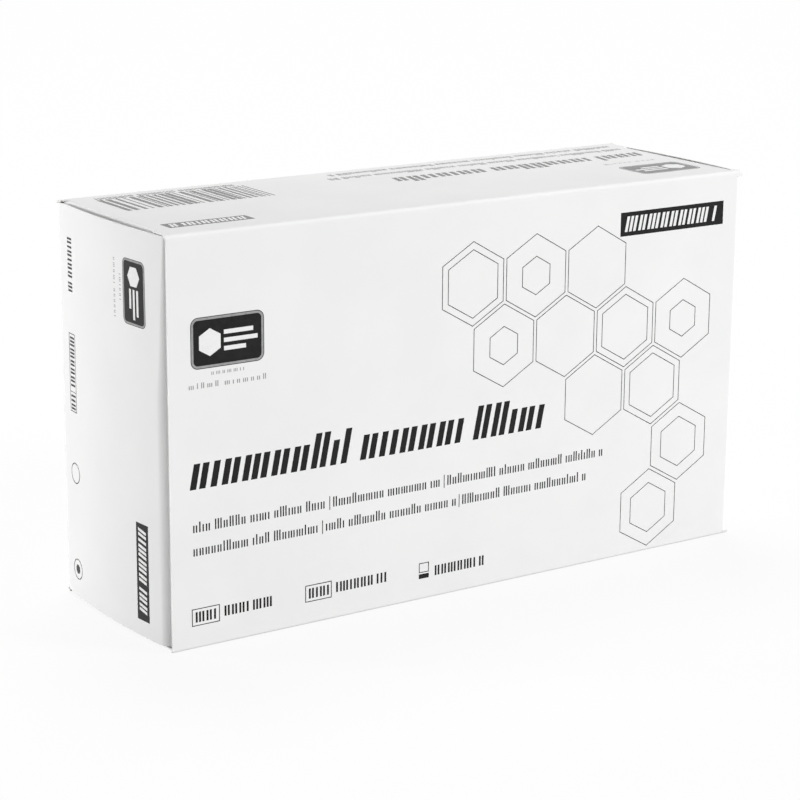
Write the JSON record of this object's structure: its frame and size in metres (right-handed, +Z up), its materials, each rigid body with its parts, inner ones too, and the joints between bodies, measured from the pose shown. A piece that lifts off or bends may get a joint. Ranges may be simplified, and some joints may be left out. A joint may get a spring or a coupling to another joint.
{
  "type": "folding carton",
  "caption": "White paperboard folding carton with reverse tuck ends: a flat-sided glued sleeve whose tabbed closure flaps swing open at the ends to load it.",
  "frame": {"origin": "middle of the carton's footprint, on the surface that it stands on", "axes": "+X along the length to the right, +Y from the front panel to the back panel, +Z up"},
  "size_m": [0.2028, 0.064, 0.116],
  "materials": {
    "board": "matte"
  },
  "bodies": {
    "carton": {"carton_body": "board"},
    "left_flap": {"left_tuck_flap": "board"},
    "right_flap": {"right_tuck_flap": "board"}
  },
  "joints": [
    {"name": "left_flap_hinge", "type": "hinge", "parent": "carton", "child": "left_flap", "pos_m": [-0.09941, 0.03141, 0.058], "axis": [0, 0, -1], "range_deg": [0, 120]},
    {"name": "right_flap_hinge", "type": "hinge", "parent": "carton", "child": "right_flap", "pos_m": [0.09941, -0.03141, 0.058], "axis": [0, 0, -1], "range_deg": [0, 120]}
  ]
}
